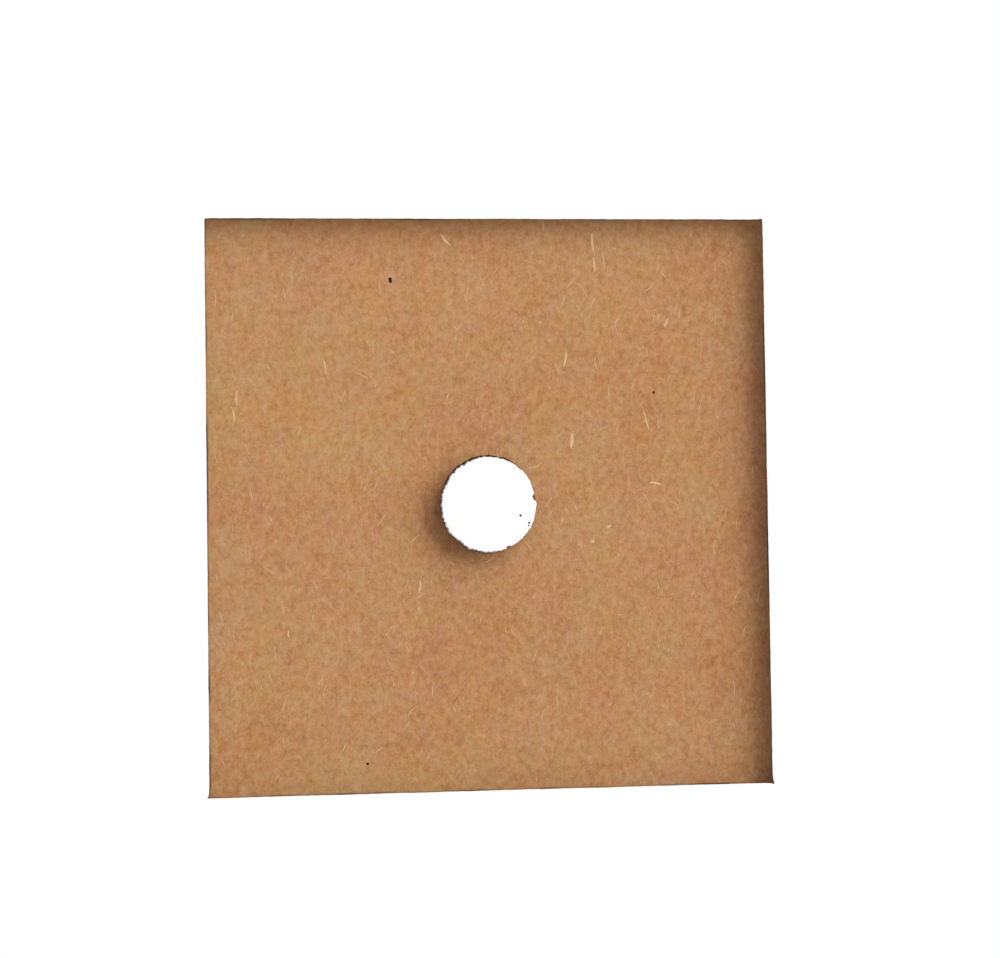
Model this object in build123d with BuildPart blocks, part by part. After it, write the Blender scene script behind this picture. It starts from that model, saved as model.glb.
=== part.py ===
from build123d import *

import os

# A board-game spinner: a nearly square chipboard card with a printed dial on its front, and a
# balanced arrow that spins on a pin. The pin is pressed into a round base that stands proud of the
# card's back, and the whole spinner rests on that base with the dial facing up.
#
# Millimetres, +Z up. The origin is the centre of the base's underside, on the arrow's axis.
# At rest the arrow points along +Y.

# Driving dimensions: card and dial. The hole is punched a little off the card's centre.
CARD_WIDTH = 100.0
CARD_LENGTH = 101.6
CARD_CENTRE = (-0.7, 0.28)
CARD_THICKNESS = 2.0
SHEET_THICKNESS = 0.25
CARD_HOLE_RADIUS = 4.1

# Driving dimensions: base, its hollow post and the collar that locks it to the card
BASE_RADIUS = 8.45
BASE_HEIGHT = 2.5
BASE_RIM_RADIUS = 0.3
BASE_FLOOR = 1.2
POST_RADIUS = 4.0
POST_TIP_CHAMFER = 0.3
COLLAR_RADIUS = 7.0
COLLAR_HEIGHT = 1.6
COLLAR_RIM_RADIUS = 0.4
PRESS_INTERFERENCE = 0.02

# Driving dimensions: pin
PIN_RADIUS = 2.0
SHANK_RADIUS = 1.5
SHANK_TIP_CHAMFER = 0.4
HEAD_RADIUS = 5.2
HEAD_SIDE_HEIGHT = 0.7
HEAD_DOME_HEIGHT = 1.3

# Driving dimensions: washers and arrow
RUNNING_CLEARANCE = 0.05
AXIAL_PLAY = 0.3
WASHER_RADIUS = 5.0
WASHER_THICKNESS = 0.5
HUB_RADIUS = 6.0
HUB_HEIGHT = 3.4
HUB_RIM_RADIUS = 0.4
BLADE_LIFT = 0.6
BLADE_THICKNESS = 1.6
BLADE_EDGE_CHAMFER = 0.25
BLADE_CORNER_RADIUS = 0.6
TIP_REACH = 42.0
HEAD_LENGTH = 14.0
HEAD_BARB = 2.2
HEAD_HALF_WIDTH = 6.2
SHAFT_HALF_WIDTH = 2.0
SHAFT_ROOT_HALF_WIDTH = 3.2
TAIL_REACH = 32.4
TAIL_LENGTH = 15.0
TAIL_HALF_WIDTH = 7.0
TAIL_SLANT = 4.0
TAIL_NOTCH = 4.0
RIB_HALF_WIDTH = 0.6
RIB_HEIGHT = 0.6

# Heights of the stack, from the surface that the spinner stands on up to the pin's head
card_bottom = BASE_HEIGHT
card_top = card_bottom + CARD_THICKNESS
sheet_top = card_top + SHEET_THICKNESS
collar_top = sheet_top + COLLAR_HEIGHT
lower_washer_top = collar_top + WASHER_THICKNESS
hub_top = lower_washer_top + HUB_HEIGHT
upper_washer_top = hub_top + WASHER_THICKNESS
head_bottom = upper_washer_top + AXIAL_PLAY
head_side_top = head_bottom + HEAD_SIDE_HEIGHT
head_top = head_side_top + HEAD_DOME_HEIGHT

running_radius = PIN_RADIUS + RUNNING_CLEARANCE

os.makedirs("parts", exist_ok=True)


def save(piece, name):
    """Labels a finished piece and writes it as one STEP file."""
    piece.part.label = name
    export_step(piece.part, f"parts/{name}.step")


def punched_sheet(bottom, thickness):
    """A flat sheet with the card's outline and hole, lying at the given height."""
    with BuildPart() as sheet:
        with BuildSketch(Plane.XY.offset(bottom)):
            with Locations(CARD_CENTRE):
                Rectangle(CARD_WIDTH, CARD_LENGTH)
            Circle(CARD_HOLE_RADIUS, mode=Mode.SUBTRACT)
        extrude(amount=thickness)
    return sheet


def spinning_washer(bottom):
    """A flat nylon washer that turns freely on the pin, lying at the given height."""
    with BuildPart() as washer:
        with BuildSketch(Plane.XY.offset(bottom)):
            Circle(WASHER_RADIUS)
            Circle(running_radius, mode=Mode.SUBTRACT)
        extrude(amount=WASHER_THICKNESS)
    return washer


# Card: raw chipboard, die-cut almost square with sharp corners, punched for the base's post
card = punched_sheet(card_bottom, CARD_THICKNESS)
save(card, "chipboard_card")

# Dial sheet: the printed paper that is glued over the card's whole front
dial = punched_sheet(card_top, SHEET_THICKNESS)
save(dial, "dial_sheet")

# Pivot base: a flat disc under the card, with a hollow post that goes up through the card.
# The post's bore is blind, so the face that the spinner stands on is whole.
with BuildPart() as base:
    with BuildSketch():
        Circle(BASE_RADIUS)
    extrude(amount=BASE_HEIGHT)
    fillet(base.edges().group_by(Axis.Z)[0], radius=BASE_RIM_RADIUS)
    with BuildSketch(Plane.XY.offset(card_bottom)):
        Circle(POST_RADIUS)
    extrude(amount=collar_top - card_bottom)
    chamfer(base.edges().group_by(Axis.Z)[-1], length=POST_TIP_CHAMFER)
    with BuildSketch(Plane.XY.offset(BASE_FLOOR)):
        Circle(SHANK_RADIUS)
    extrude(amount=collar_top - BASE_FLOOR, mode=Mode.SUBTRACT)
save(base, "pivot_base")

# Lock collar: pressed down over the post, it clamps the card and its sheet against the base
with BuildPart() as collar:
    with BuildSketch(Plane.XY.offset(sheet_top)):
        Circle(COLLAR_RADIUS)
    extrude(amount=COLLAR_HEIGHT)
    fillet(collar.edges().group_by(Axis.Z)[-1], radius=COLLAR_RIM_RADIUS)
    Hole(radius=POST_RADIUS - PRESS_INTERFERENCE)
save(collar, "lock_collar")

# Washers: one under the arrow's hub and one over it
lower_washer = spinning_washer(collar_top)
save(lower_washer, "lower_washer")

upper_washer = spinning_washer(hub_top)
save(upper_washer, "upper_washer")

# Arrow: one flat blade with a barbed head and a notched tail, about a taller round hub.
# The outline's right half runs from the tip to the tail and is mirrored. Widths and lengths
# of head and tail are set so that the arrow balances on its axis.
with BuildPart() as arrow:
    blade_bottom = lower_washer_top + BLADE_LIFT
    blade_top = blade_bottom + BLADE_THICKNESS
    head_root = TIP_REACH - HEAD_LENGTH
    tail_root = -(TAIL_REACH - TAIL_LENGTH)
    with BuildSketch(Plane.XY.offset(blade_bottom)) as blade_outline:
        with BuildLine():
            Polyline(
                (0, TIP_REACH),
                (HEAD_HALF_WIDTH, head_root - HEAD_BARB),
                (SHAFT_HALF_WIDTH, head_root),
                (SHAFT_ROOT_HALF_WIDTH, 0),
                (SHAFT_HALF_WIDTH, tail_root),
                (TAIL_HALF_WIDTH, tail_root - TAIL_SLANT),
                (TAIL_HALF_WIDTH, -TAIL_REACH),
                (0, -TAIL_REACH + TAIL_NOTCH),
            )
            mirror(about=Plane.YZ)
        make_face()
        fillet(blade_outline.vertices(), radius=BLADE_CORNER_RADIUS)
    extrude(amount=BLADE_THICKNESS)
    chamfer(arrow.faces().sort_by(Axis.Z)[-1].edges(), length=BLADE_EDGE_CHAMFER)

    # Rib: a thin spine along the top of the blade, which keeps it from bending
    with BuildSketch(Plane.XY.offset(blade_top)):
        with BuildLine():
            Polyline(
                (0, TIP_REACH - HEAD_BARB * 2),
                (RIB_HALF_WIDTH, head_root),
                (RIB_HALF_WIDTH, tail_root),
                (0, -TAIL_REACH + TAIL_NOTCH * 2),
            )
            mirror(about=Plane.YZ)
        make_face()
    extrude(amount=RIB_HEIGHT)

    # Hub: the round boss that the blade is moulded to, bored to run on the pin
    with BuildSketch(Plane.XY.offset(lower_washer_top)):
        Circle(HUB_RADIUS)
    extrude(amount=HUB_HEIGHT)
    fillet(arrow.edges().group_by(Axis.Z)[-1], radius=HUB_RIM_RADIUS)
    Hole(radius=running_radius)
save(arrow, "arrow")

# Pin: a domed head over a smooth bearing length that the arrow runs on. Its thinner shank is
# pressed into the post, and its shoulder sits on the post's end.
with BuildPart() as pin:
    shank_fit_radius = SHANK_RADIUS + PRESS_INTERFERENCE
    dome_radius = (HEAD_RADIUS**2 + HEAD_DOME_HEIGHT**2) / (2 * HEAD_DOME_HEIGHT)
    with BuildSketch(Plane.XZ):
        with BuildLine():
            Polyline(
                (0, BASE_FLOOR),
                (shank_fit_radius - SHANK_TIP_CHAMFER, BASE_FLOOR),
                (shank_fit_radius, BASE_FLOOR + SHANK_TIP_CHAMFER),
                (shank_fit_radius, collar_top),
                (PIN_RADIUS, collar_top),
                (PIN_RADIUS, head_bottom),
                (HEAD_RADIUS, head_bottom),
                (HEAD_RADIUS, head_side_top),
            )
            RadiusArc((HEAD_RADIUS, head_side_top), (0, head_top), -dome_radius)
            Line((0, head_top), (0, BASE_FLOOR))
        make_face()
    revolve(axis=Axis.Z)
save(pin, "cap_pin")
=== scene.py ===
import math
import random

import bmesh
import bpy
from mathutils import Matrix, Vector, noise

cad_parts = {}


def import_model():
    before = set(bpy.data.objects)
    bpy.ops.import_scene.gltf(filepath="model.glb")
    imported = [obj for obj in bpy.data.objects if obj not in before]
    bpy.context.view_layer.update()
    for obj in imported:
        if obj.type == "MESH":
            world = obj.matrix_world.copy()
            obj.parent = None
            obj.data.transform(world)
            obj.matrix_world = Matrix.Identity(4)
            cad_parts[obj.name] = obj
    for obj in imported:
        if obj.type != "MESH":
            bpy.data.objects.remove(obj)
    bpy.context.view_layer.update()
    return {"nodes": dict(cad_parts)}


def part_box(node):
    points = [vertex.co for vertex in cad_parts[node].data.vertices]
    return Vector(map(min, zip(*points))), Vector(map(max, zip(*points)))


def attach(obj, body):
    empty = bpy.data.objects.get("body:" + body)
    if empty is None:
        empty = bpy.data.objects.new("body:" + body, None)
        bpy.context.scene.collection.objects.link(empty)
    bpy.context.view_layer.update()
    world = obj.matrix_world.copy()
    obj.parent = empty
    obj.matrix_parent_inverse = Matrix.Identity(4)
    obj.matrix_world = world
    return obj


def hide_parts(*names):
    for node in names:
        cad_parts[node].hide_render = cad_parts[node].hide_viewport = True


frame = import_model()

MM = 0.001
NODES = frame["nodes"]

# ---------------------------------------------------------------------------------------------
# Places, read from the frame
# ---------------------------------------------------------------------------------------------
card_low, card_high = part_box("chipboard_card")
_, sheet_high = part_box("dial_sheet")
_, base_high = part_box("pivot_base")

# The middle of the card's back
CARD_CENTRE = Vector(((card_low.x + card_high.x) / 2, (card_low.y + card_high.y) / 2, card_low.z))
CARD_BACK = card_low.z
CARD_FRONT = card_high.z
HALF_WIDTH = (card_high.x - card_low.x) / 2
HALF_LENGTH = (card_high.y - card_low.y) / 2
DIAL_TOP = sheet_high.z
BASE_RADIUS = base_high.x
POST_TOP = base_high.z

# The card as the viewer of its back sees it: x to the viewer's right, y up, z to the viewer
BEHIND = Matrix(((-1, 0, 0), (0, 1, 0), (0, 0, -1)))

# ---------------------------------------------------------------------------------------------
# Driving values
# ---------------------------------------------------------------------------------------------
# Camera: angles in degrees, lengths in metres, lens in millimetres
LENS = 61.2
CAMERA_DISTANCE = 0.302
CAMERA_YAW = 5.23
CAMERA_PITCH = -1.68
CAMERA_ROLL = 0.81
CARD_OFF_RIGHT = -0.0015
CARD_OFF_UP = -0.0043
SENSOR_WIDTH = 36
CLIP_NEAR = 0.01
CLIP_FAR = 50

# Light on the card's back: shares of full white. What only the room lights is a little redder.
AMBIENT = 0.54
AMBIENT_TINT = (1.045, 0.965, 1.01)
KEY_SHARE = 0.9
KEY_TINT = (0.975, 1.02, 0.995)
KEY_AROUND = math.radians(32)
KEY_ELEVATION = math.radians(25)
KEY_DISTANCE = 2.5
KEY_WIDTH = 3.4
KEY_HEIGHT = 1.5

# Light on the dial and the floor: the way to each sun, its share of full white, its spread in
# degrees
SUNS_ABOVE = {
    "key_above": ((-0.45, -0.6, 1.0), 0.42, 24),
    "fill_above": ((0.8, 0.3, 0.9), 0.1, 40),
}
ABOVE_TINT = (0.955, 1.035, 0.99)

# Floor
FLOOR_HALF_WIDTH = 4.0
FLOOR_DROP = 0.1 * MM
FLOOR_TINT = (0.92, 0.92, 0.915)
FLOOR_ROUGHNESS = 0.8

# Strips round the card's back: the way out to each one, its depth in mm below the back, its grey.
# A last dark sheet lies just below the back.
SHADE_STRIPS = {
    "shade_right": ((-1, 0, 0), 3.2, 0.1),
    "shade_top": ((0, 1, 0), 3.0, 0.16),
    "shade_left": ((1, 0, 0), 2.1, 0.34),
    "shade_bottom": ((0, -1, 0), 4.3, 0.04),
}
STRIP_GAP = 0.5 * MM
STRIP_WIDTH = 100 * MM
UNDER_GAP = 0.2 * MM
UNDER_GREY = 0.05
SHADE_ROUGHNESS = 0.9

# The base's section and the card's hole, in mm, as in the part
POST_RADIUS = 4.0
POST_TIP_CHAMFER = 0.3
BORE_RADIUS = 1.5
BORE_FLOOR = 1.2
BASE_RIM_RADIUS = 0.3
HOLE_RADIUS = 4.1

# Wear of the base's rim: each chip is its direction in degrees from the viewer's right, its
# depth and its half width in mm. Each speck is its place and radius in mm, from the base's centre.
RIM_CHIPS = (
    (8, 0.6, 0.55),
    (18, 0.15, 1.2),
    (-66, 0.35, 0.35),
    (120, 0.2, 0.5),
    (152, 0.15, 0.7),
    (-128, 0.2, 0.4),
)
BASE_SPECKS = (((5.6, -2), 0.22), ((7.1, -3.3), 0.2), ((7, -3.8), 0.16))

# Raggedness of the base's rim: for each size of wave the waves per mm, the depth in mm on the
# rim's smoothest side and what is added to that on its most ragged side. Then the direction of
# that side from the viewer's right, and how far in over the underside the wear reaches, in mm.
RIM_WAVES = ((0.35, 0.1, 0), (4.5, 0.05, 0.18), (1.7, 0.04, 0.28))
MOST_RAGGED = math.radians(190)
WORN_BAND = 1.0

# The card's corners as the viewer of its back sees them: how far each one's burr sticks out
# along the card's width and length, and how far from the corner it fades, in mm
CORNER_BURRS = {
    (1, -1): (0.35, -0.3),
    (-1, -1): (-0.4, 0),
    (1, 1): (-0.1, 0.15),
    (-1, 1): (0.05, -0.15),
}
BURR_REACH = 0.6

# How far the card's edge is rounded where it meets the back, and how far it wanders, in mm
EDGE_SOFTNESS = 0.1
EDGE_WANDER = 0.05

# The pulp's mean colour
BOARD_TINT = (0.414, 0.212, 0.092)

# The card's most visible dark specks (place, radius) and slivers of straw (place, length, lean in
# degrees, width), in mm from the card's centre as the viewer of its back sees it
BOARD_SPECKS = (
    ((-17.5, 40), 0.32),
    ((-17.5, 39.6), 0.32),
    ((-22.5, -45.5), 0.25),
    ((29.5, 19.5), 0.22),
)
BOLD_STRAWS = (
    ((-7.5, 47), 3, -50, 0.8),
    ((19, 46.5), 4, -85, 0.6),
    ((19, 42.5), 3, -85, 0.5),
    ((13.5, 25.5), 3, 80, 0.5),
    ((14.5, 11), 3, 85, 0.8),
    ((29.5, 3), 2.5, -10, 0.6),
    ((32, 32), 2, 70, 0.5),
    ((-44.5, 19), 3, 90, 0.4),
    ((-13, -14.5), 2.5, 85, 0.5),
    ((18, -7), 0.7, 0, 0.9),
    ((21, -4.5), 1, 35, 0.8),
    ((-36, -22.5), 1.5, -85, 0.5),
    ((-45.5, 16), 3.5, -80, 0.4),
    ((-29.5, 24.5), 3.5, -80, 0.4),
    ((28, 14.5), 4, -75, 0.4),
)

# The other slivers: how far they keep from the card's edges in mm, and their usual lean and its
# spread in degrees. Every sliver's spine rises off the back and its sides sink into it, in mm.
STRAW_MARGIN = 1.5
STRAW_LEAN = 88
STRAW_LEAN_SPREAD = 28
STRAW_RISE = 0.02
STRAW_SINK = 0.01

# How far the painted shade ring round the base reaches, in mm
PAINTED_SHADE_WIDTH = 5.5

# How far the circle of the painted shade arc above the base is moved from the base, in mm of the row
# frame, and its colour
SHADE_ARC_SHIFT = (-0.06, 0.37)
SHADE_ARC_TINT = (0.035, 0.008, 0.004)

# Dial print, in mm: equal sectors between two rings, with a number in each one. A number is a
# thin slab of ink, its middle just above the sheet.
SECTORS = 6
SECTOR_DEGREES = 360 / SECTORS
INNER_RING = 9.0
OUTER_RING = 44.0
LINE = 0.5
NUMBER_RADIUS = 34.5
NUMBER_SIZE = 11
NUMBER_HALF_THICKNESS = 0.01
NUMBER_LIFT = 0.008

# Edges that turn more than this stay sharp
SHARP_ANGLE = math.radians(40)

# Tints that more than one material uses
WHITE = (0.9, 0.9, 0.885)
INK = (0.035, 0.033, 0.04)


def behind_to_row(x, y):
    """A place in mm from the card's centre, as its back's viewer sees it, in mm of the row frame."""
    return (CARD_CENTRE.x / MM - x, CARD_CENTRE.y / MM + y)


# ---------------------------------------------------------------------------------------------
# A small kit for node-based materials. Every texture works in millimetres of the row frame.
# ---------------------------------------------------------------------------------------------
class Recipe:
    """One Principled material and the nodes that feed it."""

    def __init__(self, name, **constants):
        self.material = bpy.data.materials.new(name)
        self.material.use_nodes = True
        self.tree = self.material.node_tree
        self.tree.nodes.clear()
        output = self.tree.nodes.new("ShaderNodeOutputMaterial")
        self.shader = self.tree.nodes.new("ShaderNodeBsdfPrincipled")
        self.tree.links.new(self.shader.outputs[0], output.inputs["Surface"])
        for socket, value in constants.items():
            self.shader.inputs[socket.replace("_", " ")].default_value = value
        coordinates = self.add("ShaderNodeTexCoord").outputs["Object"]
        self.place = self.vector("SCALE", coordinates, scale=1 / MM)

    def add(self, kind, inputs=None, **properties):
        node = self.tree.nodes.new(kind)
        for key, value in properties.items():
            setattr(node, key, value)
        for key, value in (inputs or {}).items():
            self.feed(node.inputs[key], value)
        return node

    def feed(self, socket, value):
        if isinstance(value, bpy.types.NodeSocket):
            self.tree.links.new(value, socket)
        else:
            socket.default_value = value

    def set(self, socket, value):
        self.feed(self.shader.inputs[socket], value)

    def calc(self, operation, a, b=0.0, c=0.0, clamp=False):
        inputs = {0: a, 1: b, 2: c}
        return self.add("ShaderNodeMath", inputs, operation=operation, use_clamp=clamp).outputs[0]

    def total(self, start, *weighted):
        """start plus each value times its weight."""
        for value, weight in weighted:
            start = self.calc("MULTIPLY_ADD", value, weight, start)
        return start

    def vector(self, operation, a, b=(0, 0, 0), scale=1.0):
        node = self.add("ShaderNodeVectorMath", {0: a, 1: b}, operation=operation)
        if operation == "SCALE":
            self.feed(node.inputs["Scale"], scale)
        return node.outputs["Value" if operation in ("LENGTH", "DOT_PRODUCT") else "Vector"]

    def parts_of(self, vector):
        return self.add("ShaderNodeSeparateXYZ", {0: vector}).outputs[:3]

    def centred(self, colour):
        """The three channels of a noise colour, each moved from about 0.5 to about 0."""
        return self.parts_of(self.vector("SUBTRACT", colour, (0.5, 0.5, 0.5)))

    def joined(self, x, y, z):
        return self.add("ShaderNodeCombineXYZ", {0: x, 1: y, 2: z}).outputs[0]

    def stretched(self, factors, shift=(0, 0, 0)):
        """The place in mm, multiplied along each axis and moved, so that noises differ."""
        return self.vector("ADD", self.vector("MULTIPLY", self.place, factors), shift)

    def noise(self, vector, size, detail=2.0, roughness=0.5, distortion=0.0):
        """Noise whose largest features are about size mm."""
        inputs = {
            "Vector": vector,
            "Scale": 1 / size,
            "Detail": detail,
            "Roughness": roughness,
            "Distortion": distortion,
        }
        return self.add("ShaderNodeTexNoise", inputs)

    def ramp(self, value, *stops):
        """A scalar ramp: each stop is (position, level)."""
        node = self.add("ShaderNodeValToRGB", {0: value})
        elements = node.color_ramp.elements
        while len(elements) < len(stops):
            elements.new(0.5)
        for element, (position, level) in zip(elements, stops):
            element.position = position
            element.color = (level, level, level, 1)
        return node.outputs[0]

    def mix(self, share, a, b, blend="MIX"):
        node = self.add("ShaderNodeMix", data_type="RGBA", blend_type=blend)
        self.feed(node.inputs[0], share)
        for socket, value in ((node.inputs[6], a), (node.inputs[7], b)):
            self.feed(socket, (*value, 1) if isinstance(value, tuple) else value)
        return node.outputs[2]

    def between(self, value, low, high):
        """1 where low < value < high, else 0."""
        above = self.calc("GREATER_THAN", value, low)
        return self.calc("MULTIPLY", above, self.calc("LESS_THAN", value, high))

    def bump(self, height, distance_mm, strength=1.0):
        inputs = {"Height": height, "Distance": distance_mm * MM, "Strength": strength}
        self.set("Normal", self.add("ShaderNodeBump", inputs).outputs[0])

    def away_from(self, x, y):
        """The distance in mm from an upright line through that place of the row frame."""
        flat = self.vector("MULTIPLY", self.place, (1, 1, 0))
        return self.vector("LENGTH", self.vector("SUBTRACT", flat, (x, y, 0)))

    def spot(self, x, y, radius):
        """A mask of one uneven spot of about radius mm at that place of the row frame."""
        uneven = self.noise(self.place, size=0.5).outputs[0]
        edge = self.calc("MULTIPLY_ADD", uneven, radius, radius / 2)
        return self.calc("LESS_THAN", self.away_from(x, y), edge)

    def inward(self):
        """The distance in mm from the card's nearest edge."""
        x, y, _ = self.parts_of(self.place)
        gaps = []
        for at, half, middle in ((x, HALF_WIDTH, CARD_CENTRE.x), (y, HALF_LENGTH, CARD_CENTRE.y)):
            off_middle = self.calc("ABSOLUTE", self.calc("SUBTRACT", at, middle / MM))
            gaps.append(self.calc("SUBTRACT", half / MM, off_middle))
        return self.calc("MINIMUM", *gaps)

    def upright(self, flattest=0.5):
        """1 on faces whose normal's height is below flattest, else 0."""
        normal = self.add("ShaderNodeNewGeometry").outputs["Normal"]
        return self.calc("LESS_THAN", self.calc("ABSOLUTE", self.parts_of(normal)[2]), flattest)

    def flecks(self, cell, length, width, share, spread, shift):
        """A mask of scattered, pointed slivers: one in each Voronoi cell that is chosen.

        cell, length and width are in mm, share is the share of the cells that hold a sliver.
        The slivers lean by up to spread/2 either way from the y axis.
        """
        upward = math.radians(90)
        least = 0.35
        varying = 0.9
        sharpness = 0.6
        flat = self.vector("MULTIPLY", self.vector("ADD", self.place, shift), (1, 1, 0))
        cells = self.add("ShaderNodeTexVoronoi", {"Vector": flat, "Scale": 1 / cell},
                         voronoi_dimensions="2D")
        centre = self.vector("SCALE", cells.outputs["Position"], scale=cell)
        away = self.vector("SUBTRACT", flat, centre)
        luck, turn, size = self.parts_of(cells.outputs["Color"])
        angle = self.calc("MULTIPLY_ADD", self.calc("SUBTRACT", turn, 0.5), spread, upward)
        turned = self.add("ShaderNodeVectorRotate", {"Vector": away, "Angle": angle},
                          rotation_type="Z_AXIS", invert=True).outputs[0]
        grown = self.calc("MULTIPLY_ADD", size, varying, least)
        along, across, _ = self.parts_of(turned)
        squares = []
        for offset, extent in ((along, length), (across, width)):
            relative = self.calc("DIVIDE", offset, self.calc("MULTIPLY", grown, extent))
            squares.append(self.calc("POWER", relative, 2))
        inside = self.calc("SUBTRACT", 1, self.calc("ADD", *squares), clamp=True)
        chosen = self.calc("LESS_THAN", luck, share)
        return self.calc("MULTIPLY", self.calc("POWER", inside, sharpness), chosen)


# ---------------------------------------------------------------------------------------------
# Materials
# ---------------------------------------------------------------------------------------------
def chipboard():
    """Raw brown chipboard: pulp of many tints, with chaff, specks and a layered cut edge."""
    r = Recipe("raw_chipboard", Specular_IOR_Level=0.15)
    light = r.noise(r.stretched((1, 0.75, 1), (40, 7, 0)), size=1.15, detail=3, roughness=0.95)
    tint = r.noise(r.stretched((1, 0.75, 1), (8, 60, 0)), size=3.2, detail=3, roughness=0.9)
    cloud = r.noise(r.stretched((1, 0.8, 1), (120, 45, 0)), size=17, detail=3, roughness=0.9)
    fine, _, _ = r.centred(light.outputs["Color"])
    _, fine_red, fine_blue = r.centred(tint.outputs["Color"])
    coarse, coarse_red, coarse_blue = r.centred(cloud.outputs["Color"])

    # Painted light and shade: the board is painted a little lighter towards one corner, as light falls
    # off, and painted shade darkens a ring round the base
    painted_light_and_shade = r.vector("DOT_PRODUCT", r.place, (0.0006, 0.00045, 0))
    off_base = r.calc("SUBTRACT", r.away_from(0, 0), BASE_RADIUS / MM)
    soiled = r.ramp(r.calc("DIVIDE", off_base, PAINTED_SHADE_WIDTH), (0, 0.1), (1, 0))
    painted_light_and_shade = r.calc("SUBTRACT", painted_light_and_shade, soiled)

    # Where the pulp is darker it is also redder, and where it is paler it is less yellow
    green = r.total(painted_light_and_shade, (fine, 1.4), (coarse, 0.56), (fine_red, -0.2), (coarse_red, -0.1))
    green = r.calc("ADD", green, 1)
    red = r.total(1, (fine, -0.5), (coarse, -0.42), (fine_red, 0.41), (coarse_red, 0.22))
    red = r.total(red, (painted_light_and_shade, -0.4))
    blue = r.total(1, (fine, 0.58), (coarse, 0.1), (fine_blue, 0.75), (coarse_blue, 0.5))
    pulp = r.joined(
        r.calc("MULTIPLY", r.calc("MULTIPLY", green, red), BOARD_TINT[0]),
        r.calc("MULTIPLY", green, BOARD_TINT[1]),
        r.calc("MULTIPLY", r.calc("MULTIPLY", green, blue), BOARD_TINT[2]),
    )

    # Pale chaff, paler dust and dark specks, most of them lying more up than across
    chaff = r.flecks(cell=2.4, length=0.85, width=0.13, share=0.3, spread=1.8, shift=(31, 17, 0))
    dust = r.flecks(cell=1.5, length=0.24, width=0.15, share=0.3, spread=2.4, shift=(5, 71, 0))
    specks = r.flecks(cell=1.2, length=0.28, width=0.13, share=0.4, spread=2.0, shift=(11, 53, 0))
    for mask, strength, colour in (
        (chaff, 0.6, (0.64, 0.4, 0.2)),
        (dust, 0.7, (0.66, 0.44, 0.26)),
        (specks, 0.45, (0.22, 0.08, 0.03)),
    ):
        pulp = r.mix(r.calc("MULTIPLY", mask, strength), pulp, colour)
    for place, radius in BOARD_SPECKS:
        pulp = r.mix(r.spot(*behind_to_row(*place), radius), pulp, (0.03, 0.008, 0.004))

    # Painted shade: a dark circle a little above the base, which shows as a thin arc beyond the base's
    # rim and stands in for a shaded gap there
    ring = r.calc("SUBTRACT", r.away_from(*SHADE_ARC_SHIFT), BASE_RADIUS / MM)
    painted_shade_arc = r.calc("LESS_THAN", r.total(ring, (fine, 0.5)), 0.0)
    pulp = r.mix(r.calc("MULTIPLY", painted_shade_arc, 0.93), pulp, SHADE_ARC_TINT)

    # Painted shade along some of the card's outline: dark patches at its edge, on the back only
    patches = r.noise(r.stretched((0.06, 0.06, 0), (0, 12, 0)), size=1, detail=2).outputs[0]
    above_back = r.calc("SUBTRACT", r.parts_of(r.place)[2], CARD_BACK / MM)
    at_edge = r.ramp(r.inward(), (0.1, 1), (0.4, 0))
    at_back = r.ramp(above_back, (0.1, 1), (0.4, 0))
    rim = r.calc("MULTIPLY", at_edge, at_back)
    painted_edge_shade = r.calc("MULTIPLY", rim, r.ramp(patches, (0.48, 0), (0.58, 0.9)))
    pulp = r.mix(painted_edge_shade, pulp, (0.07, 0.028, 0.012))

    # The die-cut edge shows the board's plies as darker, broken lines along it
    side = r.upright()
    plies = r.noise(r.stretched((0.25, 0.25, 3.5)), size=1, detail=3, roughness=0.7).outputs[0]
    dark = r.mix(r.ramp(plies, (0.38, 0.2), (0.6, 1.0)), (0.27, 0.14, 0.065), pulp)
    r.set("Base Color", r.mix(side, pulp, dark))

    height = r.total(fine, (chaff, 0.3), (r.calc("MULTIPLY", side, plies), 1.5))
    r.bump(height, distance_mm=0.05, strength=0.5)
    r.set("Roughness", r.calc("MULTIPLY_ADD", fine, -0.3, 0.88))
    return r.material


def straw(name, tint):
    """A split sliver of straw, streaked along its length."""
    r = Recipe(name, Specular_IOR_Level=0.3)
    streaks = r.noise(r.stretched((3, 0.8, 1)), size=0.5, detail=3, roughness=0.7).outputs[0]
    darker = tuple(channel * 0.75 for channel in tint)
    r.set("Base Color", r.mix(r.ramp(streaks, (0.35, 0), (0.65, 1)), darker, tint))
    r.set("Roughness", r.calc("MULTIPLY_ADD", streaks, 0.3, 0.55))
    r.bump(streaks, distance_mm=0.02, strength=0.4)
    return r.material


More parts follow.
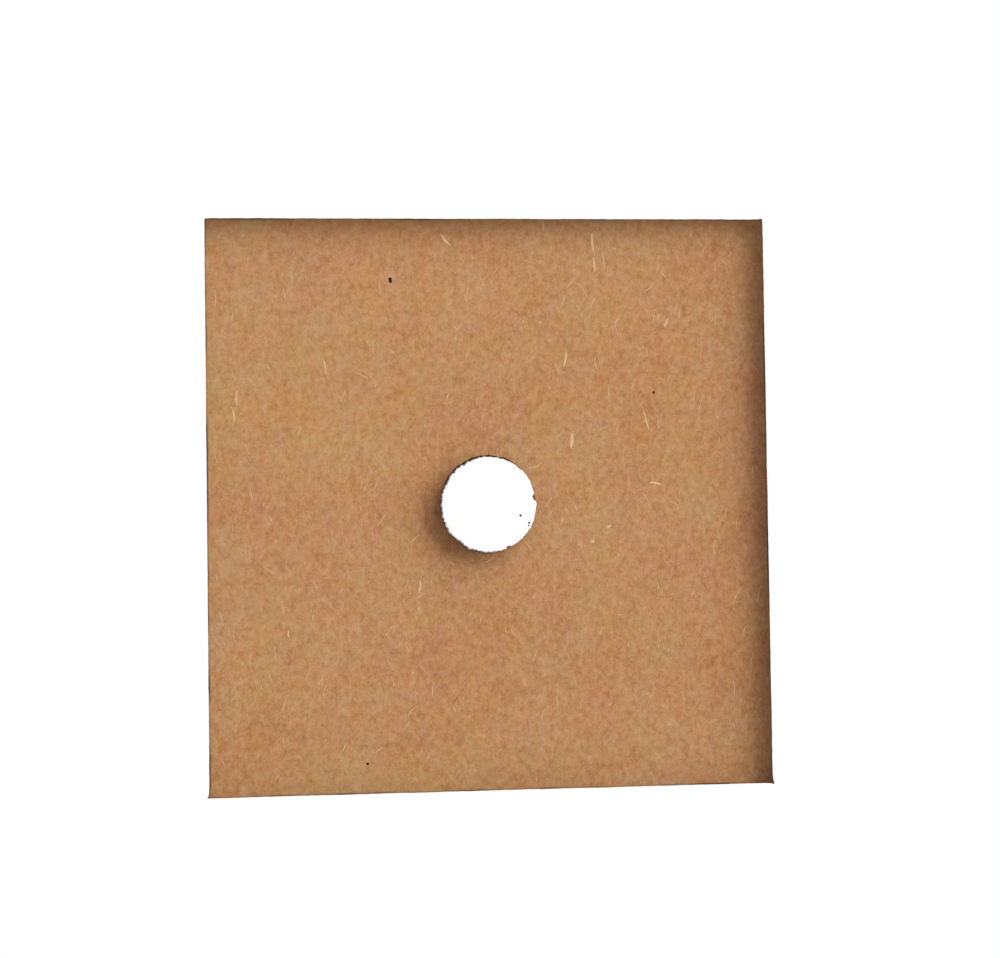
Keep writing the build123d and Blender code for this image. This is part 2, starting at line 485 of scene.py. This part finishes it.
def white_plastic(name, tint, roughness, shift, specks=(), dusty_and_shaded=False):
    """Moulded plastic: faint marbling, fine rubbing marks and an orange-peel skin."""
    r = Recipe(name, Specular_IOR_Level=0.5)
    cloud = r.noise(r.stretched((1, 1, 1), shift), size=5, detail=3, roughness=0.6).outputs[0]
    soiling = (0.95, 0.945, 0.92)
    soiled = tuple(channel * factor for channel, factor in zip(tint, soiling))
    colour = r.mix(r.ramp(cloud, (0.35, 0), (0.75, 1)), tint, soiled)
    for place, radius in specks:
        colour = r.mix(r.spot(-place[0], place[1], radius), colour, (0.05, 0.03, 0.03))
    if dusty_and_shaded:
        # Board dust clings to the base's side, most where it meets the card. It is also painted shade
        # there, dark enough that the side throws less light onto the card.
        patches = r.noise(r.place, size=0.8, detail=3, roughness=0.8).outputs[0]
        height = r.calc("DIVIDE", r.parts_of(r.place)[2], CARD_BACK / MM)
        dust = r.ramp(r.total(-0.02, (height, 0.7), (patches, 0.7)), (0.2, 0), (0.45, 1))
        dust = r.calc("MULTIPLY", dust, r.calc("MULTIPLY", r.upright(flattest=0.8), 0.9))
        colour = r.mix(dust, colour, (0.16, 0.08, 0.045))
    r.set("Base Color", colour)
    rubs = r.noise(r.stretched((1, 9, 1), shift), size=1.2, detail=4, roughness=0.7).outputs[0]
    r.set("Roughness", r.calc("MULTIPLY_ADD", rubs, 0.25, roughness - 0.1))
    peel = r.noise(r.stretched((1, 1, 1), shift), size=0.7, detail=2).outputs[0]
    r.bump(r.calc("MULTIPLY_ADD", rubs, 0.35, peel), distance_mm=0.02, strength=0.35)
    return r.material


def dial_print():
    """Coated paper with a wheel of printed sectors, worn and browned in patches."""
    r = Recipe("dial_print", Specular_IOR_Level=0.4)
    x, y, _ = r.parts_of(r.place)
    radius = r.away_from(0, 0)
    angle = r.calc("ARCTAN2", y, x)
    sector = math.radians(SECTOR_DEGREES)
    turns = r.calc("DIVIDE", r.calc("ADD", angle, math.tau), sector)
    index = r.calc("FLOOR", r.calc("FLOORED_MODULO", turns, SECTORS))

    # The sectors' inks run anticlockwise, seen from above, from the row's +X
    paper = (0.84, 0.79, 0.68)
    inks = (
        (0.07, 0.19, 0.44),
        (0.72, 0.07, 0.05),
        (0.83, 0.48, 0.04),
        (0.1, 0.34, 0.12),
        (0.78, 0.24, 0.04),
        (0.26, 0.1, 0.33),
    )
    wheel = paper
    tolerance = 0.1
    for place, colour in enumerate(inks):
        wheel = r.mix(r.calc("COMPARE", index, float(place), tolerance), wheel, colour)
    printed = r.mix(r.between(radius, INNER_RING, OUTER_RING), paper, wheel)

    # Ink lines: the spokes and both rings
    off_spoke = r.calc("PINGPONG", angle, sector / 2)
    to_spoke = r.calc("MULTIPLY", radius, r.calc("SINE", off_spoke))
    lines = r.calc("MULTIPLY", r.calc("LESS_THAN", to_spoke, LINE / 2),
                   r.between(radius, INNER_RING, OUTER_RING))
    for ring in (INNER_RING, OUTER_RING):
        off_ring = r.calc("ABSOLUTE", r.calc("SUBTRACT", radius, ring))
        lines = r.calc("MAXIMUM", lines, r.calc("LESS_THAN", off_ring, LINE / 2))
    printed = r.mix(lines, printed, INK)

    # Paper shows through the ink in fine flecks, and more where it has been handled
    grain = r.noise(r.place, size=0.35, detail=3, roughness=0.7).outputs[0]
    handled = r.noise(r.stretched((1, 1, 1), (3, 9, 0)), size=22, detail=3, roughness=0.6).outputs[0]
    thin = r.calc("MULTIPLY", r.ramp(grain, (0.52, 0), (0.72, 1)),
                  r.ramp(handled, (0.35, 0.08), (0.75, 0.3)))
    printed = r.mix(thin, printed, paper)

    # The sheet has browned along its edges and, more faintly, where it has been handled
    edge = r.ramp(r.inward(), (0, 0.55), (0.8, 0))
    printed = r.mix(r.calc("MULTIPLY", edge, grain), printed, (0.6, 0.5, 0.36))
    age = r.ramp(handled, (0.4, 0), (0.8, 0.22))
    r.set("Base Color", r.mix(age, printed, (0.62, 0.5, 0.33), blend="MULTIPLY"))

    r.set("Roughness", r.calc("MULTIPLY_ADD", handled, 0.3, 0.28))
    r.bump(grain, distance_mm=0.012, strength=0.5)
    return r.material


def number_ink():
    """The same dense black ink as the dial's lines, with fine breaks."""
    r = Recipe("number_ink", Specular_IOR_Level=0.4)
    grain = r.noise(r.place, size=0.35, detail=3, roughness=0.7).outputs[0]
    broken = r.ramp(grain, (0.6, 0), (0.75, 0.35))
    r.set("Base Color", r.mix(broken, INK, (0.5, 0.45, 0.38)))
    r.set("Roughness", r.calc("MULTIPLY_ADD", grain, 0.2, 0.35))
    r.bump(grain, distance_mm=0.01, strength=0.4)
    return r.material


def one_sided(name, tint, roughness):
    """A plain stage material that is only there when its front is seen."""
    material = bpy.data.materials.new(name)
    material.use_nodes = True
    tree = material.node_tree
    shader = tree.nodes["Principled BSDF"]
    shader.inputs["Base Color"].default_value = (*tint, 1)
    shader.inputs["Roughness"].default_value = roughness
    clear = tree.nodes.new("ShaderNodeBsdfTransparent")
    either = tree.nodes.new("ShaderNodeMixShader")
    behind = tree.nodes.new("ShaderNodeNewGeometry").outputs["Backfacing"]
    tree.links.new(behind, either.inputs[0])
    tree.links.new(shader.outputs[0], either.inputs[1])
    tree.links.new(clear.outputs[0], either.inputs[2])
    tree.links.new(either.outputs[0], tree.nodes["Material Output"].inputs["Surface"])
    return material


# ---------------------------------------------------------------------------------------------
# Stage: floor, shade strips, lights, world and camera
# ---------------------------------------------------------------------------------------------
def make_object(name, mesh, material):
    made = bpy.data.objects.new(name, mesh)
    mesh.materials.append(material)
    bpy.context.scene.collection.objects.link(made)
    return made


def floor():
    """A pale floor, there from above only, so that the card's back can be looked at from below."""
    half = FLOOR_HALF_WIDTH
    mesh = bpy.data.meshes.new("floor")
    corners = [(-half, -half), (half, -half), (half, half), (-half, half)]
    mesh.from_pydata([(x, y, -FLOOR_DROP) for x, y in corners], [], [(0, 1, 2, 3)])
    made = make_object("floor", mesh, one_sided("pale_floor", FLOOR_TINT, FLOOR_ROUGHNESS))
    made.visible_diffuse = False
    made.visible_glossy = False
    made.visible_transmission = False
    made.visible_shadow = False


def shade(name, corners, depth, grey):
    """A level, one-sided face that no camera sees, at that depth below the card's back."""
    middle = CARD_CENTRE - Vector((0, 0, depth))
    mesh = bpy.data.meshes.new(name)
    mesh.from_pydata([middle + corner for corner in corners], [], [(0, 1, 2, 3)])
    made = make_object(name, mesh, one_sided(name, (grey, grey, grey), SHADE_ROUGHNESS))
    made.visible_camera = False


def shade_strip(name, away, depth, grey):
    """A level strip just outside and below one edge of the card's back, which only shades it.

    It is there from above only and no camera sees it. Its ends are mitred to meet its neighbours.
    away is the row-frame direction from the card's centre to the edge.
    """
    out = Vector(away)
    along = out.cross(Vector((0, 0, 1)))
    near = Vector((HALF_WIDTH + STRIP_GAP, HALF_LENGTH + STRIP_GAP, 0))
    far = near + Vector((STRIP_WIDTH, STRIP_WIDTH, 0))
    corners = [(out - along) * near, (out + along) * near, (out + along) * far, (out - along) * far]
    shade(name, corners, depth, grey)


def shade_under():
    """Keeps the light on the card's back off the floor: a dark sheet that is there from below only."""
    half = Vector((HALF_WIDTH - STRIP_GAP, HALF_LENGTH - STRIP_GAP, 0))
    corners = [Vector((x, y, 0)) * half for x, y in ((-1, 1), (1, 1), (1, -1), (-1, -1))]
    shade("shade_under", corners, UNDER_GAP, UNDER_GREY)


def soft_light(name, kind, direction, share, tint):
    """A light aimed at the card. share is how much of full white it adds there.

    direction is in the row frame, from the card to the light.
    """
    toward = Vector(direction).normalized()
    data = bpy.data.lights.new(name, kind)
    data.color = tint
    data.energy = share * math.pi / abs(toward.z)
    made = bpy.data.objects.new(name, data)
    made.location = toward * KEY_DISTANCE + CARD_CENTRE
    made.rotation_mode = "QUATERNION"
    made.rotation_quaternion = toward.to_track_quat("Z", "Y")
    bpy.context.scene.collection.objects.link(made)
    return data


def key_below():
    """A wide, low window of light from the upper right of the card's back."""
    toward = BEHIND @ Vector((math.cos(KEY_AROUND) * math.cos(KEY_ELEVATION),
                              math.sin(KEY_AROUND) * math.cos(KEY_ELEVATION),
                              math.sin(KEY_ELEVATION)))
    data = soft_light("key_below", "AREA", toward, KEY_SHARE, KEY_TINT)
    # A window's energy is its whole power, so it has to grow with the square of its distance
    data.energy *= math.pi * KEY_DISTANCE**2
    data.shape = "RECTANGLE"
    data.size = KEY_WIDTH
    data.size_y = KEY_HEIGHT


def sun_above(name, direction, share, spread):
    """Far, soft light on the dial and the whole floor, spread over that many degrees."""
    data = soft_light(name, "SUN", direction, share, ABOVE_TINT)
    data.angle = math.radians(spread)


def world():
    """White behind everything, and an even, weaker light from all round."""
    made = bpy.data.worlds.new("studio")
    made.use_nodes = True
    tree = made.node_tree
    light = tree.nodes["Background"]
    light.inputs["Color"].default_value = (*AMBIENT_TINT, 1)
    light.inputs["Strength"].default_value = AMBIENT
    seen = tree.nodes.new("ShaderNodeBackground")
    seen.inputs["Color"].default_value = (1, 1, 1, 1)
    seen.inputs["Strength"].default_value = 1.0
    either = tree.nodes.new("ShaderNodeMixShader")
    camera_ray = tree.nodes.new("ShaderNodeLightPath").outputs["Is Camera Ray"]
    tree.links.new(camera_ray, either.inputs[0])
    tree.links.new(light.outputs[0], either.inputs[1])
    tree.links.new(seen.outputs[0], either.inputs[2])
    tree.links.new(either.outputs[0], tree.nodes["World Output"].inputs["Surface"])
    bpy.context.scene.world = made


def camera():
    """Looks at the card's back with a slightly long lens, from a little left of its middle."""
    turn = (Matrix.Rotation(math.radians(CAMERA_ROLL), 3, "Z")
            @ Matrix.Rotation(math.radians(CAMERA_PITCH), 3, "X")
            @ Matrix.Rotation(math.radians(CAMERA_YAW), 3, "Y"))
    card_from_camera = Vector((CARD_OFF_RIGHT, CARD_OFF_UP, -CAMERA_DISTANCE))
    data = bpy.data.cameras.new("camera")
    data.lens = LENS
    data.sensor_width = SENSOR_WIDTH
    data.clip_start = CLIP_NEAR
    data.clip_end = CLIP_FAR
    made = bpy.data.objects.new("camera", data)
    rotation = BEHIND @ turn.transposed()
    place = rotation @ -card_from_camera + CARD_CENTRE
    made.matrix_world = Matrix.LocRotScale(place, rotation.to_quaternion(), None)
    bpy.context.scene.collection.objects.link(made)
    bpy.context.scene.camera = made


def stage():
    """Everything that is there only to show the object."""
    bpy.context.scene.view_settings.view_transform = "Standard"
    floor()
    for name, (away, depth, grey) in SHADE_STRIPS.items():
        shade_strip(name, away, depth * MM, grey)
    shade_under()
    world()
    key_below()
    for name, (toward, share, spread) in SUNS_ABOVE.items():
        sun_above(name, toward, share, spread)
    camera()


# ---------------------------------------------------------------------------------------------
# Pieces
# ---------------------------------------------------------------------------------------------
def dress(node, material):
    """Gives a CAD node its material."""
    NODES[node].data.materials.clear()
    NODES[node].data.materials.append(material)


def add_piece(name, form, material, node=None):
    """Turns a bmesh into a piece of the card's body, which may stand for a CAD node."""
    bmesh.ops.recalc_face_normals(form, faces=form.faces)
    mesh = bpy.data.meshes.new(name)
    form.to_mesh(mesh)
    form.free()
    mesh.set_sharp_from_angle(angle=SHARP_ANGLE)
    made = make_object(name, mesh, material)
    if node:
        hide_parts(node)
    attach(made, "card_body")


def lofted(rings, closed):
    """A skin over a row of rings with the same number of points, each given in metres.

    A closed skin joins the last ring to the first. An open one gets a flat face at either end.
    """
    form = bmesh.new()
    rows = [[form.verts.new(point) for point in ring] for ring in rings]
    pairs = list(zip(rows, rows[1:]))
    if closed:
        pairs.append((rows[-1], rows[0]))
    for lower, upper in pairs:
        for i in range(len(lower)):
            form.faces.new((lower[i - 1], lower[i], upper[i], upper[i - 1])).smooth = True
    if not closed:
        form.faces.new(rows[0])
        form.faces.new(rows[-1])
    return form


def worn_base(material):
    """The moulded base, with a ragged, chipped rim about its flat underside."""
    points_around = 480
    side_steps = 8
    reach = BASE_RADIUS / MM
    height = CARD_BACK / MM
    top = POST_TOP / MM

    # The section as (radius, height) points: underside, rounded rim, side, then post and bore
    profile = [(radius, 0) for radius in (1, 4, 7, reach - BASE_RIM_RADIUS * 1.4)]
    for degrees in range(0, 91, 30):
        turn = math.radians(degrees)
        profile.append((reach - BASE_RIM_RADIUS * (1 - math.sin(turn)),
                        BASE_RIM_RADIUS * (1 - math.cos(turn))))
    side = height - BASE_RIM_RADIUS
    for step in range(side_steps):
        profile.append((reach, BASE_RIM_RADIUS + side * (step + 1) / side_steps))
    profile += [
        (POST_RADIUS, height),
        (POST_RADIUS, top - POST_TIP_CHAMFER),
        (POST_RADIUS - POST_TIP_CHAMFER, top),
        (BORE_RADIUS, top),
        (BORE_RADIUS, BORE_FLOOR),
    ]

    def wear(angle, radius, z):
        """How far the rim is worn in at that place, in mm. Most of it is gone next to the card."""
        near_rim = (radius - reach + WORN_BAND) / WORN_BAND
        if near_rim <= 0:
            return 0
        place = Vector((math.cos(angle) * reach, math.sin(angle) * reach, z * 0.6))
        raggedness = 0.5 + 0.5 * math.cos(angle - MOST_RAGGED)
        loss = 0
        for waves_per_mm, depth, more in RIM_WAVES:
            loss += (depth + more * raggedness) * noise.noise(place * waves_per_mm)
        for direction, depth, half in RIM_CHIPS:
            off = math.remainder(angle - math.radians(direction), math.tau) * reach
            loss += depth * math.exp(-((off / half) ** 4))
        return loss * near_rim * (1 - 0.75 * z / height)

    rings = []
    for radius, z in profile:
        ring = []
        for i in range(points_around):
            angle = math.tau * i / points_around
            worn = radius - wear(angle, radius, z)
            ring.append((-worn * math.cos(angle) * MM, worn * math.sin(angle) * MM, z * MM))
        rings.append(ring)
    add_piece("worn_base", lofted(rings, False), material, "pivot_base")


def cut_board(material):
    """The die-cut card: edges that wander slightly, softened, with a burr on the back's corners."""
    per_side = 180
    corners = [(1, -1), (1, 1), (-1, 1), (-1, -1)]
    outline = []
    for here, after in zip(corners, corners[1:] + corners[:1]):
        for step in range(per_side):
            outline.append(Vector(here).lerp(Vector(after), step / per_side))
    half = Vector((HALF_WIDTH, HALF_LENGTH)) / MM

    def edge_ring(z, inset, burr):
        """The outline at a height in metres, drawn in by inset mm, with that share of the burrs."""
        ring = []
        for share in outline:
            place = share * half
            sample = Vector((*place, z / MM * 2.5))
            shrink = inset + EDGE_WANDER * (noise.noise(sample * 0.12) + noise.noise(sample * 0.9))
            moved = place - Vector((int(share.x), int(share.y))) * shrink
            for corner, out in CORNER_BURRS.items():
                gap = (place - Vector(corner) * half).length
                moved += Vector(out) * burr * math.exp(-gap / BURR_REACH)
            ring.append((*(Vector(behind_to_row(*moved)) * MM), z))
        return ring

    def hole_ring(z):
        """The hole's rim at a height in metres."""
        ring = []
        for share in outline:
            toward = Vector(behind_to_row(*(share * half))).normalized()
            ring.append((*(toward * HOLE_RADIUS * MM), z))
        return ring

    def level(share):
        """The height that is that share of the way from the card's back to its front."""
        return CARD_BACK + (CARD_FRONT - CARD_BACK) * share

    soft = EDGE_SOFTNESS * MM
    rings = [
        hole_ring(CARD_FRONT),
        hole_ring(CARD_BACK),
        edge_ring(CARD_BACK, EDGE_SOFTNESS * 4, 0.5),
        edge_ring(CARD_BACK, EDGE_SOFTNESS, 0.9),
        edge_ring(CARD_BACK + soft * 0.3, EDGE_SOFTNESS * 0.3, 1),
        edge_ring(CARD_BACK + soft, 0, 0.8),
    ]
    rings += [edge_ring(level(share), 0.02, 0.3 * (1 - share)) for share in (0.3, 0.5, 0.7, 0.85)]
    rings.append(edge_ring(CARD_FRONT, 0.03, 0))
    add_piece("cut_board", lofted(rings, True), material, "chipboard_card")


def sliver(form, place, length, lean, width, luck):
    """Adds one slightly bent, pointed, raised sliver to a mesh on the card's back."""
    steps = 6
    bend = luck.uniform(-0.12, 0.12) * length
    along = Vector((math.cos(lean), math.sin(lean)))
    across = Vector((-along.y, along.x))
    raised = CARD_BACK - STRAW_RISE * MM
    sunk = CARD_BACK + STRAW_SINK * MM
    rows = []
    for step in range(steps + 1):
        t = 2 * step / steps - 1
        slack = 1 - t * t
        half = width / 2 * slack**0.7 * luck.uniform(0.75, 1.1)
        spine = Vector(place) + along * (t * length / 2) + across * (bend * slack)
        points = ((spine - across * half, sunk), (spine, raised), (spine + across * half, sunk))
        rows.append([form.verts.new((*(Vector(behind_to_row(*p)) * MM), z)) for p, z in points])
    for here, after in zip(rows, rows[1:]):
        for i in (0, 1):
            form.faces.new((here[i], here[i + 1], after[i + 1], after[i]))


def straws(name, material, seed, scattered, longest, widest, listed=()):
    """Slivers of straw pressed into the card's back: the listed ones and some scattered ones.

    longest and widest are the limits in mm of the scattered ones.
    """
    luck = random.Random(seed)
    form = bmesh.new()
    for place, length, lean, width in listed:
        sliver(form, place, length, math.radians(lean), width, luck)
    for _ in range(scattered):
        place = (luck.uniform(-1, 1) * (HALF_WIDTH / MM - STRAW_MARGIN),
                 luck.uniform(-1, 1) * (HALF_LENGTH / MM - STRAW_MARGIN))
        lean = math.radians(luck.gauss(STRAW_LEAN, STRAW_LEAN_SPREAD))
        length = luck.uniform(0.2, 1) * longest
        width = luck.uniform(0.5, 1) * widest
        sliver(form, place, length, lean, width, luck)
    add_piece(name, form, material)


def numbers():
    """The dial's numbers, 1 to 6 clockwise from the resting arrow, as thin ink on the sheet."""
    ink = number_ink()
    for number in range(1, SECTORS + 1):
        angle = math.radians(90 - SECTOR_DEGREES * (number - 1))
        data = bpy.data.curves.new(f"number_{number}", "FONT")
        data.body = str(number)
        data.align_x = data.align_y = "CENTER"
        data.size = NUMBER_SIZE * MM
        data.extrude = NUMBER_HALF_THICKNESS * MM
        text = bpy.data.objects.new(f"number_{number}_curve", data)
        bpy.context.scene.collection.objects.link(text)
        bpy.context.view_layer.update()
        evaluated = text.evaluated_get(bpy.context.evaluated_depsgraph_get())
        mesh = bpy.data.meshes.new_from_object(evaluated)
        bpy.data.objects.remove(text)
        around = Matrix.Rotation(angle - math.radians(90), 4, "Z")
        out = Matrix.Translation((0, NUMBER_RADIUS * MM, DIAL_TOP + NUMBER_LIFT * MM))
        mesh.transform(around @ out)
        made = make_object(f"number_{number}", mesh, ink)
        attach(made, "card_body")


stage()
cut_board(chipboard())
straws("bright_straws", straw("bright_straw", (0.66, 0.45, 0.235)), seed=3, scattered=22,
       longest=2.2, widest=0.28, listed=BOLD_STRAWS)
straws("faint_straws", straw("faint_straw", (0.58, 0.365, 0.195)), seed=5, scattered=260,
       longest=3.4, widest=0.32)
dress("dial_sheet", dial_print())
# The base's side carries board dust that is also painted shade where it meets the card
worn_base(white_plastic("base_white", WHITE, roughness=0.42, shift=(0, 0, 0),
                        specks=BASE_SPECKS, dusty_and_shaded=True))
moulded = white_plastic("moulded_white", WHITE, roughness=0.42, shift=(0, 0, 0))
for node in ("lock_collar", "cap_pin"):
    dress(node, moulded)
dress("arrow", white_plastic("arrow_white", WHITE, roughness=0.4, shift=(20, 5, 0)))
nylon = white_plastic("nylon", (0.72, 0.7, 0.62), roughness=0.5, shift=(0, 30, 0))
for node in ("lower_washer", "upper_washer"):
    dress(node, nylon)
numbers()
